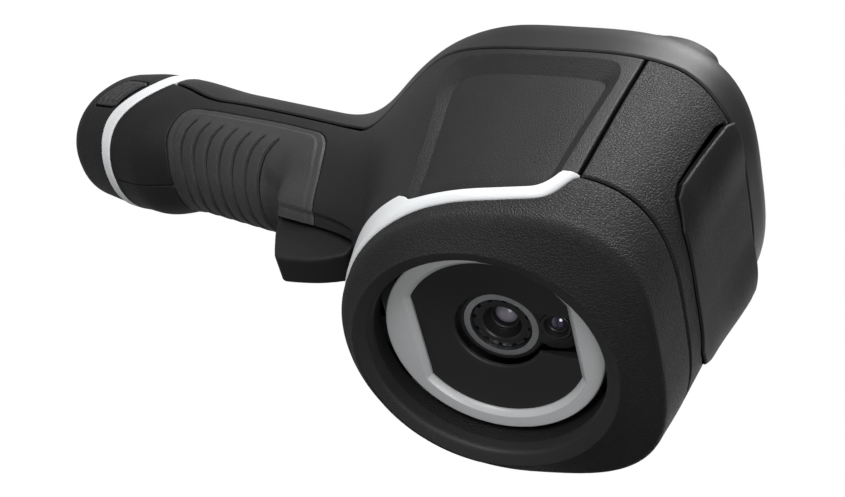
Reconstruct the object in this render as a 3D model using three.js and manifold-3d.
// Hand-held thermal imaging camera with a pistol grip, built as separate named pieces.
// Millimetres, +Z up. Origin: the middle of the flat end of the battery base. -Y is the viewing
// direction, +Y the display side, -X the operator's right. All dimensions below are laid out about
// the lens axis, where it leaves the front opening; the finished group is moved and sized at the
// end.
import * as THREE from "three";
import { mergeVertices } from "three/addons/utils/BufferGeometryUtils.js";
import Module from "manifold-3d";

const wasm = await Module();
wasm.setup();
const { clamp, degToRad, smoothstep } = THREE.MathUtils;

// ---------- driving dimensions ----------
const SCALE = 0.98; // layout to real size
const BASE_POINT = [9.9, 117.95]; // middle of the base's end face: back, down in the grip
const GAP = 0.3; // clearance between neighbouring pieces
const WALL = 2.4; // housing wall
const LINER_INSET = WALL + 0.8; // pieces fitted inside the head
const SEGMENTS = 30; // facets round a lens part
const OPENING_R = 33.5; // front opening
const RING_R = 31.4; // reflector ring, outside
const RING_IN_R = 26;
const RING_Y = 9.65; // reflector ring front face
const FLAT_LOW = -21.9; // chords of the dish, bottom and top
const FLAT_HIGH = 22.9;
const KEYHOLE_R = 12.7;
const KEYHOLE_Y = 14.5;
const BARREL_R = 8.7;
const VISUAL_Z = 16; // visual camera axis above the IR axis
const TRIM_Y0 = 12.6; // trim band, front and rear edges
const TRIM_Y1 = 16.6;
const TOP_GROOVE_Y = 24; // front edge of the top cover
const REAR_TILT = 0.22; // the display face leans: y + 0.22 z is constant on it
const REAR_SEAM = 89.4;
const REAR_FACE = 113;
const LEAN = degToRad(19.5); // lean of the grip
const GRIP_ORIGIN = [75, -80]; // y, z
const GRIP_HALF_WIDTH = 19.5;
const GRIP_HALF_DEPTH = 23.5;
const GRIP_BACK = 15.1; // grip centre behind the origin line
const BUTT_START = 91; // light ring, along the grip
const BUTT_END = 97;
const BASE_END = 118; // end of the battery base
const CAP_PIVOT = [11.8, -25.4]; // x, z of the lens cap pivot
const CAP_R = 12.4;
const CAP_CLOSED = 114.9; // degrees, bearing of the lens axis from the pivot
const CAP_SWING = 57.7;
const TRIGGER_PIVOT = [57.5, -56]; // y, z

// ---------- frames ----------
const vec = (x, y, z) => new THREE.Vector3(x, y, z);
const move = (x, y, z) => new THREE.Matrix4().makeTranslation(x, y, z);
const basis = (first, second, third, origin) =>
  new THREE.Matrix4().makeBasis(first, second, third).setPosition(origin);

const WORLD = new THREE.Matrix4();
// Lens frames: first axis +X, second -Z, third +Y into the camera.
const lensAt = (x, z) => basis(vec(1, 0, 0), vec(0, 0, -1), vec(0, 1, 0), vec(x, 0, z));
const LENS = lensAt(0, 0);
// Side frames take (y, z) polygons and extrude them along X.
const SIDE = basis(vec(0, 1, 0), vec(0, 0, 1), vec(1, 0, 0), vec(0, 0, 0));
const sideAt = (y, z) => move(0, y, z).multiply(SIDE);
// Grip frame: first axis +X, second forwards across the grip, third down the grip.
const COS_LEAN = Math.cos(LEAN);
const SIN_LEAN = Math.sin(LEAN);
const ACROSS_GRIP = vec(0, -COS_LEAN, -SIN_LEAN);
const GRIP = basis(
  vec(1, 0, 0), ACROSS_GRIP, vec(0, SIN_LEAN, -COS_LEAN), vec(0, ...GRIP_ORIGIN),
);
// Display frame: first axis the operator's right (-X), second up the display, third out of it.
const FACE_UNIT = 1 / Math.hypot(1, REAR_TILT);
const FACE = basis(
  vec(-1, 0, 0),
  vec(0, -REAR_TILT * FACE_UNIT, FACE_UNIT),
  vec(0, FACE_UNIT, REAR_TILT * FACE_UNIT),
  vec(0, REAR_FACE, 0),
);
// Frame about a pivot on the lens layout, its Z along `bearing`, turned from +X towards +Z.
const armFrame = ([x, z], bearing) =>
  move(x, 0, z).multiply(new THREE.Matrix4().makeRotationY(Math.PI / 2 - bearing));

// (y, z) of a point `back` behind and `down` along from the grip origin, and the reverse.
const gripPoint = (back, down) => [
  GRIP_ORIGIN[0] + COS_LEAN * back + SIN_LEAN * down,
  GRIP_ORIGIN[1] + SIN_LEAN * back - COS_LEAN * down,
];
function toGrip(y, z) {
  const dy = y - GRIP_ORIGIN[0];
  const dz = z - GRIP_ORIGIN[1];
  return [dy * COS_LEAN + dz * SIN_LEAN, dy * SIN_LEAN - dz * COS_LEAN];
}

// ---------- solids ----------
function solid(source, frame = WORLD) {
  const loose = source.index ? source.toNonIndexed() : source;
  const bare = new THREE.BufferGeometry();
  bare.setAttribute("position", loose.getAttribute("position"));
  bare.applyMatrix4(frame);
  const merged = mergeVertices(bare, 1e-4);
  return new wasm.Manifold(
    new wasm.Mesh({
      numProp: 3,
      vertProperties: new Float32Array(merged.attributes.position.array),
      triVerts: new Uint32Array(merged.index.array),
    }),
  );
}
function box(x0, x1, y0, y1, z0, z1, frame = WORLD) {
  const centre = move((x0 + x1) / 2, (y0 + y1) / 2, (z0 + z1) / 2);
  return solid(new THREE.BoxGeometry(x1 - x0, y1 - y0, z1 - z0), frame.clone().multiply(centre));
}
// Polygon extruded along the third axis of its frame.
function prism(points, from, to, frame = WORLD) {
  const shape = new THREE.Shape(points.map(([u, v]) => new THREE.Vector2(u, v)));
  const geometry = new THREE.ExtrudeGeometry(shape, { depth: to - from, bevelEnabled: false });
  return solid(geometry, frame.clone().multiply(move(0, 0, from)));
}
// Turned part: profile of [radius, height], height along the third axis of its frame.
function turned(profile, frame = LENS, segments = SEGMENTS) {
  const points = profile.map(([radius, height]) => new THREE.Vector2(radius, height));
  const upright = new THREE.Matrix4().makeRotationX(Math.PI / 2); // lathe axis Y becomes Z
  return solid(new THREE.LatheGeometry(points, segments), frame.clone().multiply(upright));
}
const disc = (radius, from, to, frame, segments) =>
  turned([[0, from], [radius, from], [radius, to], [0, to]], frame, segments);
const tube = (inside, outside, from, to, frame, segments) =>
  turned(
    [[inside, from], [outside, from], [outside, to], [inside, to], [inside, from]],
    frame, segments,
  );

// Cutting shapes wide enough to span the whole body.
const fullWidth = (y0, y1, z0, z1) => box(-60, 60, y0, y1, z0, z1);
const slab = (y0, y1) => fullWidth(y0, y1, -80, 80);
const sidePrism = (points, halfWidth = 60) => prism(points, -halfWidth, halfWidth, SIDE);
const gripSlab = (from, to) => box(-40, 40, -60, 60, from, to, GRIP);

// ---------- outer form: implicit fields, negative inside ----------
function smoothMin(a, b, blend) {
  const overlap = Math.max(blend - Math.abs(a - b), 0) / blend;
  return Math.min(a, b) - (overlap * overlap * blend) / 4;
}
const smoothMax = (a, b, blend) => -smoothMin(-a, -b, blend);
// Superellipse with half axes a and b.
function oval(u, v, a, b, power) {
  const sum = Math.pow(Math.abs(u) / a, power) + Math.pow(Math.abs(v) / b, power);
  const reach = Math.pow(sum, 1 / power);
  return reach < 1e-4 ? -Math.min(a, b) : Math.hypot(u, v) * (1 - 1 / reach);
}
// Superelliptical section, fuller above its middle line, growing towards the display.
function headField(x, y, z) {
  const along = clamp(y, 0, 115);
  const halfWidth = 44.6 + 2.1 * smoothstep(along, 4, 24) + 0.9 * smoothstep(along, 20, 80);
  const middle = 5 + 0.02 * along;
  const above = z > middle;
  const halfHeight = above ? 46 + 0.17 * along - middle : middle + 42.4 + 0.148 * along;
  const power = above ? 3.15 : 2.05 + 0.7 * smoothstep(along, 10, 80);
  const section = oval(x, z - middle, halfWidth, halfHeight, power);
  const lip = 0.25 * Math.max(Math.hypot(x, z) - 36, 0) - y; // falls away outwards
  const rear = (y + REAR_TILT * z - REAR_FACE) * FACE_UNIT;
  const rearBlend = 15 + 9 * (1 - smoothstep(z, -50, -10));
  return smoothMax(smoothMax(section, lip, 8), rear, rearBlend);
}
// The grip swells towards the butt, then narrows over the battery base.
function gripField(x, y, z) {
  const [back, down] = toGrip(y, z);
  const swell = smoothstep(down, 60, 84);
  const taper = smoothstep(down, 97, 119);
  const halfWidth = GRIP_HALF_WIDTH + 4.2 * swell - 2.2 * taper;
  const halfDepth = GRIP_HALF_DEPTH + 2.3 * swell - 3 * taper;
  const centre = GRIP_BACK - 3.6 * swell - 1.6 * taper;
  const section = oval(x, back - centre, halfWidth, halfDepth, 2.2);
  return smoothMax(smoothMax(section, down - BASE_END, 8), -down - 50, 6);
}
function triggerHousingField(x, y, z) {
  const [back, down] = toGrip(y, z);
  const section = oval(x, back, 15.5, 20.5, 3);
  return smoothMax(smoothMax(section, down - 4, 10), -down - 45, 6);
}
const bodyField = (x, y, z) =>
  smoothMin(
    smoothMin(headField(x, y, z), gripField(x, y, z), 26), triggerHousingField(x, y, z), 10,
  );

// Closed skin `inset` inside a field's surface: each ring is cast outwards from its centre, in
// the plane of its axes u and v.
function skin(rings, count, inset, field) {
  const REACH = 120;
  const STRIDE = 2;
  const HALVINGS = 18;
  const hit = (centre, direction) => {
    const at = (distance) => centre.clone().addScaledVector(direction, distance);
    const isOutside = (distance) => field(...at(distance).toArray()) + inset > 0;
    let far = 0;
    while (far < REACH && !isOutside(far)) far += STRIDE;
    let near = Math.max(0, far - STRIDE);
    for (let i = 0; i < HALVINGS; i++) {
      const middle = (near + far) / 2;
      if (isOutside(middle)) far = middle;
      else near = middle;
    }
    return at(far);
  };
  const grid = rings.map(({ centre, u, v }) =>
    Array.from({ length: count }, (_, i) => {
      const angle = (i / count) * Math.PI * 2;
      const direction = u.clone().multiplyScalar(Math.cos(angle));
      direction.addScaledVector(v, Math.sin(angle)).normalize();
      return hit(centre, direction);
    }),
  );
  const first = rings[0];
  const last = rings.at(-1);
  const travel = last.centre.clone().sub(first.centre);
  const isForward = first.u.clone().cross(first.v).dot(travel) > 0;
  const corners = [];
  const face = (a, b, c) => corners.push(...(isForward ? [a, b, c] : [a, c, b]));
  for (let k = 0; k + 1 < grid.length; k++)
    for (let i = 0; i < count; i++) {
      const j = (i + 1) % count;
      face(grid[k][i], grid[k][j], grid[k + 1][j]);
      face(grid[k][i], grid[k + 1][j], grid[k + 1][i]);
    }
  for (let i = 0; i < count; i++) {
    const j = (i + 1) % count;
    face(first.centre, grid[0][j], grid[0][i]);
    face(last.centre, grid.at(-1)[i], grid.at(-1)[j]);
  }
  return solid(new THREE.BufferGeometry().setFromPoints(corners));
}
// Head rings stand across Y and lean with the display towards the rear.
function headSkin(inset, count) {
  const FLOOR = -72;
  const CENTRE_Z = -2;
  const STATIONS = [0.02, 1.5, 4, 10, 20, 34, 48, 62, 76, 88, 98, 105, 109.5, 112.2];
  const cutField = (x, y, z) => Math.max(bodyField(x, y, z), FLOOR + inset - z);
  const rings = STATIONS.map((y) => {
    const shifted = y < 4 ? y + inset * (1 - y / 4) : y - inset * smoothstep(y, 80, 113);
    const tilt = REAR_TILT * smoothstep(y, 8, 70);
    return {
      centre: vec(0, shifted - tilt * CENTRE_Z, CENTRE_Z),
      u: vec(1, 0, 0),
      v: vec(0, -tilt, 1),
    };
  });
  return skin(rings, count, inset, cutField);
}
// Grip rings stand across the grip, centred behind its origin line.
function gripSkin(inset, count, start = -26) {
  const CENTRE_BACK = 12;
  const stations = [
    start, -12, 0, 6, 14, 34, 56, 66, 76, 86, 97, 108, 114, BASE_END - 1.6, BASE_END - 0.05,
  ];
  const rings = stations.map((down) => ({
    centre: vec(0, ...gripPoint(CENTRE_BACK, down)),
    u: vec(1, 0, 0),
    v: ACROSS_GRIP,
  }));
  const field = (x, y, z) => smoothMin(gripField(x, y, z), triggerHousingField(x, y, z), 10);
  return skin(rings, count, inset, field);
}
const headOuter = headSkin(0, 36);
const gripOuter = gripSkin(0, 26);
const outer = headOuter.add(gripOuter);
const shellAll = outer.subtract(headSkin(WALL, 28).add(gripSkin(WALL, 20, -60)));
const headLiner = headSkin(LINER_INSET, 28);

// ---------- regions that divide the housing ----------
// Everything behind the rear seam, grown forwards by `grow`. Points are y, z.
const behindSeam = (grow) =>
  sidePrism([
    [REAR_SEAM - REAR_TILT * 70 - grow, 70],
    [REAR_SEAM + REAR_TILT * 20 - grow, -20],
    [94 - grow, -35],
    [92.5 - grow, -42],
    [90 - grow, -50],
    [87.6 - grow, -58],
    gripPoint(GRIP_BACK + 1.6 - grow, -8),
    gripPoint(GRIP_BACK + 1.6 - grow, 32),
    gripPoint(GRIP_BACK + 3.3 - grow, 55),
    gripPoint(24.1 - grow, 80),
    gripPoint(24.1 - grow, 130),
    gripPoint(90, 130),
    [190, 70],
  ]);
// Above the side seam of the top cover, raised by `raise`.
const aboveSide = (raise) =>
  sidePrism([
    [-5, 26.8 + raise], [21, 28.9 + raise], [80.4, 33.6 + raise], [100, 35.1 + raise],
    [100, 90], [-5, 90],
  ]);

// ---------- assembly groups and the list of pieces ----------
const camera = new THREE.Group();
camera.name = "thermal_imaging_camera";
function subgroup(name) {
  const group = new THREE.Group();
  group.name = name;
  camera.add(group);
  return group;
}
const battery = subgroup("battery");
const optics = subgroup("optics");
const keys = subgroup("keys");
const triggerGroup = subgroup("trigger_group");

const pieces = {};
// Booleans can leave dust, so the largest body of a result is the piece.
function put(group, name, paint, result) {
  const [body] = result.decompose().sort((a, b) => b.volume() - a.volume());
  pieces[name] = { group, paint, body };
}

// ---------- nose ----------
// Front frame: a thick ring carrying the opening, then the thin nose wall. Outlines are y, z.
const mouth = disc(OPENING_R, -5, 30, LENS, 40);
const noseFrame = outer.intersect(slab(-1, RING_Y + 2.5)).subtract(mouth);
const noseLow = shellAll.intersect(fullWidth(RING_Y, TRIM_Y0 - GAP, -80, 25));
const noseHigh = shellAll
  .intersect(fullWidth(RING_Y, TOP_GROOVE_Y - GAP, 25, 80))
  .subtract(sidePrism([
    [TRIM_Y0 - GAP, 10], [TRIM_Y0 - GAP, 20.2], [15.1, 24.8], [19.3, 26.7], [22.6, 28.8],
    [30, 29.3], [30, 10],
  ]));
const noseRecess = disc(34.2, RING_Y - 0.5, 30, LENS, 40);
put(camera, "nose_bezel", "rubber",
  noseFrame.add(noseLow).add(noseHigh).subtract(noseRecess));

// Light trim band, a U round the sides and underside of the nose, and its clearance cut.
const trimRegion = sidePrism([
  [TRIM_Y0, -80], [TRIM_Y1, -80], [TRIM_Y1, 20.2], [19.9, 22.1], [24, 24.4], [23, 28.2],
  [19.5, 26.2], [15.5, 24.4], [TRIM_Y0, 20],
]);
const trimClearance = sidePrism([
  [TRIM_Y0 - GAP, -81], [TRIM_Y1 + GAP, -81], [TRIM_Y1 + GAP, 20], [20.1, 21.8], [24.4, 24.2],
  [23.3, 28.6], [19.3, 26.7], [15.1, 24.8], [TRIM_Y0 - GAP, 20.2],
]);
put(camera, "nose_trim_band", "light", shellAll.intersect(trimRegion));

// ---------- pistol shells: the sides of the head and the front of the grip ----------
// Arc of the lens cap lever's slot about the cap pivot.
const slotArc = (radius) =>
  Array.from({ length: 11 }, (_, i) => {
    const angle = degToRad(-133 + 84 * (i / 10));
    return [
      CAP_PIVOT[0] + radius * Math.cos(angle), -(CAP_PIVOT[1] + radius * Math.sin(angle)),
    ];
  });
const capSlot = prism([...slotArc(34), ...slotArc(13).reverse()], 17.4, 22.4, LENS);
const triggerSlot = sidePrism([
  gripPoint(-60, -32.5), gripPoint(-10.5, -32.5), gripPoint(-6.2, -12), gripPoint(-6.2, 11),
  gripPoint(-60, 11),
], 12.4);
const behindTrim = sidePrism([
  [TRIM_Y1 + GAP, -80], [30, -90], [90, -260], [260, -260], [260, 90], [TRIM_Y1 + GAP, 90],
]);
const noseTop = sidePrism([
  [-5, 20], [12, 20], [15.1, 24.5], [19.3, 26.4], [23.4, 28.3], [24.3, 30], [24.3, 90], [-5, 90],
]);

// Grip pads, set into pockets in the shells. Outline is y, z, seen from the side.
const PAD_OUTLINE = [
  [20, -60], [20, -118], [61, -125], [75, -135], [90, -142], [101, -144], [107, -140],
  [106, -133], [100.5, -114], [95, -96], [90, -85], [85.6, -79], [81, -76], [66, -72], [55, -69],
];
// Outline scaled a little about its middle to give the pocket its clearance.
function padZone(grow) {
  const middleY = 80;
  const middleZ = -108;
  const factor = 1 + grow / 32;
  return sidePrism(PAD_OUTLINE.map(([y, z]) => [
    middleY + (y - middleY) * factor, middleZ + (z - middleZ) * factor,
  ]));
}
const pads = gripOuter
  .subtract(gripSkin(1.2, 26))
  .intersect(padZone(0))
  .subtract(fullWidth(20, 69, -95.5, -30));
const padPocket = padZone(0.9)
  .subtract(gripSkin(1.9, 26))
  .subtract(fullWidth(20, 68.5, -95, -30));

const shells = shellAll
  .intersect(behindTrim)
  .subtract(trimClearance)
  .subtract(noseTop)
  .subtract(aboveSide(-GAP))
  .subtract(behindSeam(GAP))
  .subtract(gripSlab(BUTT_START - GAP, 140))
  .subtract(capSlot)
  .subtract(triggerSlot)
  .subtract(padPocket);
const rightHalf = box(-80, -GAP / 2, -40, 200, -260, 90);
const leftHalf = box(GAP / 2, 80, -40, 200, -260, 90);
put(camera, "right_shell", "shell", shells.intersect(rightHalf));
put(camera, "left_shell", "shell", shells.intersect(leftHalf));
put(camera, "right_grip_pad", "rubber", pads.intersect(rightHalf));
put(camera, "left_grip_pad", "rubber", pads.intersect(leftHalf));

// ---------- top cover, with a shallow flap pocket and the connector port in its floor ----------
// Flap seen from above, x, y, widened by `grow`.
function flapBlock(grow) {
  const nose = 28 + grow;
  const side = 31 + grow;
  return prism([
    [-nose, 31.5 - grow], [nose, 31.5 - grow], [side, 36 - grow], [side, 68 + grow],
    [-side, 68 + grow], [-side, 36 - grow],
  ], 30, 90);
}
put(camera, "top_cover", "rubber", shellAll
  .intersect(aboveSide(0))
  .intersect(slab(TOP_GROOVE_Y, 200))
  .subtract(behindSeam(GAP))
  .subtract(flapBlock(GAP).subtract(headSkin(1.6, 36)))
  .subtract(box(-9, 9, 43, 53, 30, 90)));
put(camera, "usb_flap", "shell", headOuter.subtract(headSkin(1.3, 36)).intersect(flapBlock(0)));

// ---------- rear cover: display frame, key openings and the back of the grip ----------
// Rounded rectangle on the display frame: x to the operator's right, v up the face.
function facePlate(x, v, width, height, corner, from, to, steps = 5) {
  const points = [];
  for (const [signX, signV, start] of [[1, 1, 0], [-1, 1, 90], [-1, -1, 180], [1, -1, 270]])
    for (let i = 0; i <= steps; i++) {
      const angle = degToRad(start + (90 * i) / steps);
      points.push([
        x + signX * (width / 2 - corner) + corner * Math.cos(angle),
        v + signV * (height / 2 - corner) + corner * Math.sin(angle),
      ]);
    }
  return prism(points, from, to, FACE);
}
// Plate about the display window, larger than it by `extra` in each direction overall.
const DISPLAY = { v: 18, width: 76, height: 60 };
const displayPlate = (extra, corner, from, to) =>
  facePlate(0, DISPLAY.v, DISPLAY.width + extra, DISPLAY.height + extra, corner, from, to);

const NAV_R = 12.6;
const NAV_FRAME = FACE.clone().multiply(move(0, -30.5, 0));
const navDisc = (radius, from, to, segments = 28) => disc(radius, from, to, NAV_FRAME, segments);
// Keys: x, v, width, height, back, front.
const KEYS = {
  archive_button: [-28, -24, 13, 8.6, -4.6, 0.9],
  cancel_button: [28, -24, 13, 8.6, -4.6, 0.9],
  power_button: [0, -50, 12, 6.4, -5.6, 1.2],
};
const keyPlate = (x, v, width, height, from, to) =>
  facePlate(x, v, width, height, Math.min(width, height) / 2 - 0.05, from, to, 4);

let rearCover = shellAll
  .intersect(behindSeam(0))
  .subtract(gripSlab(BUTT_START - GAP, 140))
  .add(displayPlate(6, 9, -8, 0.6).intersect(headSkin(-1.2, 36)))
  .subtract(displayPlate(2 * GAP, 6, -1.6, 5))
  .subtract(displayPlate(-5, 3, -20, 5))
  .subtract(navDisc(NAV_R + 0.5, -30, 9));
for (const [x, v, width, height] of Object.values(KEYS))
  rearCover = rearCover.subtract(keyPlate(x, v, width + 2 * GAP, height + 2 * GAP, -30, 12));
put(camera, "rear_cover", "shell", rearCover);
put(camera, "display_window", "window", displayPlate(0, 5.8, -1.3, 0.1));
put(camera, "display_module", "black", displayPlate(-7, 1, -6.2, -2.6));
put(keys, "nav_pad", "key", navDisc(NAV_R, -3.4, 1.6, 32).subtract(navDisc(5.9, -9, 9)));
put(keys, "select_button", "key", navDisc(5.4, -3.4, 2.2));
for (const [name, key] of Object.entries(KEYS)) put(keys, name, "key", keyPlate(...key));
put(keys, "keypad_board", "board", facePlate(0, -27.5, 56, 18, 3, -9.4, -7.8));
put(camera, "main_board", "board", facePlate(0, 7, 74, 72, 4, -24, -22.4));
put(camera, "board_shield", "steel", facePlate(6, 10, 44, 36, 2, -28.4, -24.3));
// Flat cable bent in an L: v up the face, then distance out of it.
const CABLE_OUTLINE = [
  [2, -6.5], [-8, -6.5], [-8, -22.1], [-7.5, -22.1], [-7.5, -7], [2, -7],
];
put(camera, "display_flex_cable", "contact",
  prism(CABLE_OUTLINE, -9, 9, FACE.clone().multiply(SIDE)));
// Sealing cord just inside the rear seam, an open loop round the head.
put(camera, "rear_gasket", "rubber", headLiner
  .subtract(headSkin(WALL + 2.2, 28))
  .intersect(behindSeam(-0.6))
  .subtract(behindSeam(-2.4))
  .intersect(fullWidth(0, 200, -40, 90)));

// ---------- reflector ring and dish ----------
const ringHole = disc(RING_IN_R, -5, 40).intersect(fullWidth(-10, 60, FLAT_LOW, FLAT_HIGH));
put(optics, "lens_ring", "silver", disc(RING_R, RING_Y, 12.1).subtract(ringHole));

const dishLow = FLAT_LOW + GAP;
const dishHigh = FLAT_HIGH - GAP;
const DISH_FLANGE = 4; // reach past the chords, behind the ring
const dish = turned([
  [10, KEYHOLE_Y], [KEYHOLE_R, KEYHOLE_Y], [25.8, 11], [25.8, 12.5], [29, 12.5], [29, 13.5],
  [25, 13.5], [KEYHOLE_R, KEYHOLE_Y + 0.9], [10, KEYHOLE_Y + 0.9], [10, KEYHOLE_Y],
]);
put(optics, "lens_dish", "black", dish
  .intersect(fullWidth(0, 60, dishLow - DISH_FLANGE, dishHigh + DISH_FLANGE))
  .subtract(fullWidth(10, 12.4, -60, dishLow))
  .subtract(fullWidth(10, 12.4, dishHigh, 60))
  .subtract(disc(KEYHOLE_R, 0, 40))
  .subtract(box(-7, 7, 0, 40, 5, FLAT_HIGH - 0.4)));

// ---------- visual camera, above the IR lens ----------
const visualDisc = (radius, from, to) => disc(radius, from, to, lensAt(0, VISUAL_Z), 20);
put(optics, "visual_camera_bezel", "black", box(-8, 8, 17.3, 18.6, 12.2, 26)
  .subtract(visualDisc(4.5, 10, 30))
  .subtract(disc(12.1, 10, 30)));
put(optics, "visual_lens", "glass", visualDisc(3.2, 18.2, 20.2));
put(optics, "visual_camera_module", "black",
  box(-5, 5, 20.5, 23.6, 12.8, 21).add(box(-4, 4, 23.4, 30, 13, 20)));

// ---------- IR lens and detector ----------
const MOUNT_R = 9.05; // bore of the mount
put(optics, "lens_mount", "aluminium",
  tube(MOUNT_R, 10.85, 17.2, 38.2).add(tube(MOUNT_R, 11.8, 22, 23.6)));
put(optics, "lens_oring", "rubber", tube(11.15, 12.4, 19.4, 21.4, LENS, 20));

// Barrel with a ring of notches in its front rim.
const NOTCHES = { count: 8, radius: 0.9, circle: 8.3 };
let barrel = turned([
  [3.4, 24.2], [5.4, 20.6], [6, 19.9], [8.4, 19.9], [BARREL_R, 20.3], [BARREL_R, 37], [6.4, 37],
  [6.4, 30.3], [3.4, 30.3], [3.4, 24.2],
]);
for (let i = 0; i < NOTCHES.count; i++) {
  const angle = ((i + 0.5) / NOTCHES.count) * Math.PI * 2;
  const frame = lensAt(NOTCHES.circle * Math.cos(angle), NOTCHES.circle * Math.sin(angle));
  barrel = barrel.subtract(disc(NOTCHES.radius, 19, 21, frame, 6));
}
put(optics, "ir_lens_barrel", "black", barrel.subtract(disc(4.5, 25, 30.3)));
const FRONT_LENS = [[0, 24.9], [2, 25.05], [4.2, 25.6], [4.2, 28.4], [0, 27.6]];
const REAR_LENS = [[0, 31], [6.1, 31.6], [6.1, 34], [0, 33.2]];
put(optics, "ir_front_lens", "glass", turned(FRONT_LENS, LENS, 28));
put(optics, "ir_rear_lens", "glass", turned(REAR_LENS, LENS, 28));
put(optics, "detector_housing", "aluminium",
  box(-9, 9, 44.5, 51.4, -9, 9).add(disc(8, 41, 45, LENS, 28)));
put(optics, "detector_board", "board", box(-21, 21, 51.7, 53.3, -18, 18));

// ---------- shutter: a flag on an arm, turned by a motor beside the lens ----------
const SHUTTER_PIVOT = [-22, -12]; // x, z
const FLAG_REACH = [12, 20.8]; // x, z from the pivot to the flag centre
const FLAG_Y = [38.7, 39.4];
const shutterFrame = lensAt(...SHUTTER_PIVOT);
const flagFrame = lensAt(SHUTTER_PIVOT[0] + FLAG_REACH[0], SHUTTER_PIVOT[1] + FLAG_REACH[1]);
const flagArm = armFrame(SHUTTER_PIVOT, Math.atan2(FLAG_REACH[1], FLAG_REACH[0]));
put(optics, "shutter_motor", "steel",
  disc(4.6, 41, 51, shutterFrame, 20).add(disc(0.9, 38, 42, shutterFrame, 12)));
put(optics, "shutter_flag", "steel", disc(7.6, ...FLAG_Y, flagFrame, 24)
  .add(box(-2.2, 2.2, ...FLAG_Y, 0, 18, flagArm))
  .add(disc(3, ...FLAG_Y, shutterFrame, 20))
  .subtract(disc(1.2, 30, 60, shutterFrame, 16)));

// ---------- front chassis plate, fitted to the inside of the head ----------
const capFrame = lensAt(...CAP_PIVOT);
put(camera, "internal_chassis", "aluminium", headLiner
  .intersect(slab(24.6, 26.6))
  .subtract(disc(11.2, 0, 60))
  .subtract(box(-6, 6, 0, 60, 8, 24))
  .subtract(box(-5, 30, 20, 30, -60, -39))
  .subtract(disc(1.2, 0, 60, capFrame, 16)));

// ---------- lens cap, swung open: a blade behind the dish and a lever under the nose ----------
const capBearing = degToRad(CAP_CLOSED - CAP_SWING);
const capReach = Math.hypot(...CAP_PIVOT);
const bladeFrame = lensAt(
  CAP_PIVOT[0] + capReach * Math.cos(capBearing),
  CAP_PIVOT[1] + capReach * Math.sin(capBearing),
);
const BLADE_Y = [15.7, 16.8];
const LEVER_Y = [17.8, 21.6];
const HUB_R = 4.4;
const leverArm = armFrame(CAP_PIVOT, degToRad(-119));
const capBore = disc(1.8, 0, 40, capFrame, 16);
put(optics, "lens_cap_blade", "black", disc(CAP_R, ...BLADE_Y, bladeFrame, 32)
  .add(box(-3.4, 3.4, ...BLADE_Y, 0, 20, armFrame(CAP_PIVOT, capBearing)))
  .add(disc(HUB_R, 15.7, 17.4, capFrame, 24))
  .subtract(capBore));
put(optics, "lens_cap_lever", "key", disc(HUB_R, ...LEVER_Y, capFrame, 24)
  .add(box(-2.6, 2.6, ...LEVER_Y, 0, 24.6, leverArm))
  .add(box(-4, 4, ...LEVER_Y, 22.8, 26.2, leverArm))
  .subtract(capBore));
put(optics, "cap_pivot_pin", "steel", disc(1.5, 15.2, 24.3, capFrame, 16));

// ---------- USB connector under the top cover ----------
put(camera, "usb_connector", "steel",
  box(-4.5, 4.5, 44.5, 51.5, 38, 47).subtract(box(-3.4, 3.4, 45.6, 50.4, 41, 60)));

// ---------- trigger: a wedge that widens from its front edge to the mouth of the grip ----------
const triggerSide = sidePrism([
  [42, -82], [40.4, -76], [40.8, -66], [43.6, -57.6], gripPoint(-22, -31.8),
  gripPoint(-14.2, -31.8), gripPoint(-14, 8), [61.5, -93.8], [53, -90],
], 30);
const triggerPlan = prism(
  [[-4.6, 39], [4.6, 39], [11.8, 53], [11.8, 80], [-11.8, 80], [-11.8, 53]], -100, -40,
);
const triggerFrame = sideAt(...TRIGGER_PIVOT);
const lugWeb = prism([[-9, -6], [1, -3], [1, 3], [-9, 1]], -7, 7, triggerFrame);
const triggerLug = disc(3.6, -7, 7, triggerFrame, 20).add(lugWeb);
put(triggerGroup, "trigger", "rubber", triggerSide
  .intersect(triggerPlan)
  .add(triggerLug)
  .subtract(disc(1.8, -40, 40, triggerFrame, 16)));
put(triggerGroup, "trigger_pin", "steel", disc(1.5, -12.6, 12.6, triggerFrame, 16));
put(triggerGroup, "trigger_switch", "black", box(-4, 4, 4, 11.6, -22.6, -15.6, GRIP));

// Coil spring, its axis running from the back of the trigger into the grip.
function triggerSpring() {
  const COIL = { turns: 4.5, radius: 2, length: 5.6, wire: 0.35 };
  const steps = COIL.turns * 8;
  const points = [];
  for (let i = 0; i <= steps; i++) {
    const angle = (i / 8) * Math.PI * 2;
    const along = (i / steps) * COIL.length;
    points.push(vec(COIL.radius * Math.cos(angle), COIL.radius * Math.sin(angle), along));
  }
  const wire = new THREE.Shape();
  wire.absarc(0, 0, COIL.wire, 0, Math.PI * 2);
  const geometry = new THREE.ExtrudeGeometry(wire, {
    steps: 34,
    curveSegments: 2,
    bevelEnabled: false,
    extrudePath: new THREE.CatmullRomCurve3(points),
  });
  const seat = basis(vec(1, 0, 0), vec(0, 0, 1), vec(0, -1, 0), vec(0, 13.2, -4));
  return solid(geometry, GRIP.clone().multiply(seat));
}
put(triggerGroup, "trigger_spring", "steel", triggerSpring());

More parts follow.
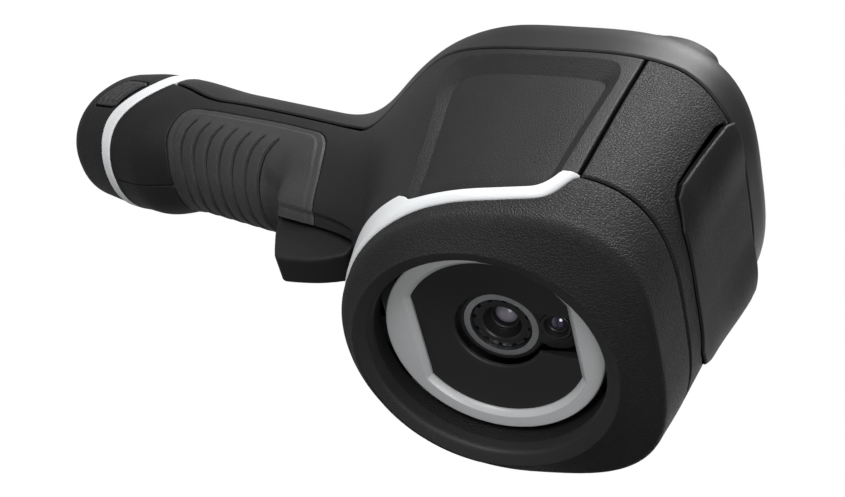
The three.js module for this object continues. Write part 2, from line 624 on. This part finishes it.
// ---------- battery: pack, sleeve, contacts, light ring, base and two latches ----------
function batteryOval(halfWidth, halfDepth, from, to) {
  const COUNT = 32;
  const power = 2 / 2.6;
  const bulge = (value) => Math.sign(value) * Math.abs(value) ** power;
  const points = Array.from({ length: COUNT }, (_, i) => {
    const angle = (i / COUNT) * Math.PI * 2;
    return [
      halfWidth * bulge(Math.cos(angle)), -GRIP_BACK + halfDepth * bulge(Math.sin(angle)),
    ];
  });
  return prism(points, from, to, GRIP);
}
put(battery, "battery_pack", "battery", batteryOval(13.2, 16, -12, 97));
put(camera, "battery_sleeve", "sleeve", batteryOval(14.9, 18.2, -15.4, 90.4)
  .subtract(batteryOval(13.7, 16.5, -13.2, 95))
  .subtract(box(-7, 7, -21, -9, -30, 0, GRIP)));
put(camera, "battery_contacts", "contact", box(-6, 6, -20, -10, -16.4, -12.4, GRIP));
put(camera, "butt_trim_ring", "light", gripOuter
  .intersect(gripSlab(BUTT_START, BUTT_END))
  .subtract(batteryOval(15.2, 18.4, 60, 120)));

// Latch block from `depth` off the middle plane outwards; side is +1 for the operator's left.
function latchBlock(side, depth, grow) {
  const middle = -GRIP_BACK + 6;
  const half = 6.5 + grow;
  const [x0, x1] = side > 0 ? [depth, 40] : [-40, -depth];
  return box(x0, x1, middle - half, middle + half, 100 - grow, 109.5 + grow, GRIP);
}
const LATCH_POCKET = 17.4;
const LATCH_BACK = 19.6;
put(battery, "battery_base", "shell", gripOuter
  .intersect(gripSlab(BUTT_END + GAP, 140))
  .subtract(latchBlock(1, LATCH_POCKET, GAP))
  .subtract(latchBlock(-1, LATCH_POCKET, GAP)));
for (const [name, side] of [["right_battery_latch", -1], ["left_battery_latch", 1]])
  put(camera, name, "key", gripOuter.intersect(latchBlock(side, LATCH_BACK, 0)));

// ---------- case screws, driven from the operator's left into bosses on the left shell ----------
const SCREWS = [[34, -34], [82, -44], [36, 18], [76, 22]]; // y, z
SCREWS.forEach(([y, z], i) => {
  const frame = sideAt(y, z);
  let surface = 20; // stepped out to the housing surface
  while (bodyField(surface + 0.5, y, z) < 0) surface += 0.5;
  const head = disc(2.4, surface - 2.2, surface - 0.6, frame, 16);
  const shank = disc(1.2, surface - 9, surface - 2, frame, 12);
  put(camera, `case_screw_${i + 1}`, "steel", head.add(shank));
  const boss = tube(0, 4, surface - 10, surface - 1, frame, 16).intersect(outer);
  pieces.left_shell.body = pieces.left_shell.body
    .add(boss)
    .subtract(disc(2.8, surface - 2.6, surface + 3, frame, 16))
    .subtract(disc(1.5, surface - 11, surface, frame, 12));
});

// ---------- materials and meshes ----------
const PAINT = {
  shell: { color: 0x1b1b1c, roughness: 0.72 },
  rubber: { color: 0x161617, roughness: 0.85 },
  light: { color: 0xcfd0d1, roughness: 0.45 },
  silver: { color: 0xc4c6c8, roughness: 0.35, metalness: 0.2 },
  glass: { color: 0x3c3850, roughness: 0.08, metalness: 0.1 },
  window: { color: 0x0a0a0c, roughness: 0.12 },
  black: { color: 0x0e0e0f, roughness: 0.55 },
  steel: { color: 0x9a9b9e, roughness: 0.35, metalness: 0.9 },
  aluminium: { color: 0xa9abad, roughness: 0.4, metalness: 0.85 },
  board: { color: 0x17472c, roughness: 0.6 },
  key: { color: 0x232324, roughness: 0.7 },
  battery: { color: 0x2a2c30, roughness: 0.6 },
  sleeve: { color: 0x303032, roughness: 0.7 },
  contact: { color: 0xb08d57, roughness: 0.35, metalness: 0.9 },
};
const materials = {};
for (const [name, look] of Object.entries(PAINT))
  materials[name] = new THREE.MeshStandardMaterial({ name, ...look });

for (const [name, { group, paint, body }] of Object.entries(pieces)) {
  const { vertProperties, triVerts } = body.getMesh();
  const geometry = new THREE.BufferGeometry();
  const positions = new THREE.BufferAttribute(new Float32Array(vertProperties), 3);
  geometry.setAttribute("position", positions);
  geometry.setIndex(new THREE.BufferAttribute(new Uint32Array(triVerts), 1));
  geometry.computeVertexNormals();
  const mesh = new THREE.Mesh(geometry, materials[paint]);
  mesh.name = name;
  group.add(mesh);
}

// Bring the middle of the battery base's end face to the origin, at real size.
const [baseY, baseZ] = gripPoint(...BASE_POINT);
camera.scale.setScalar(SCALE);
camera.position.set(0, -baseY, -baseZ).multiplyScalar(SCALE);

export default camera;
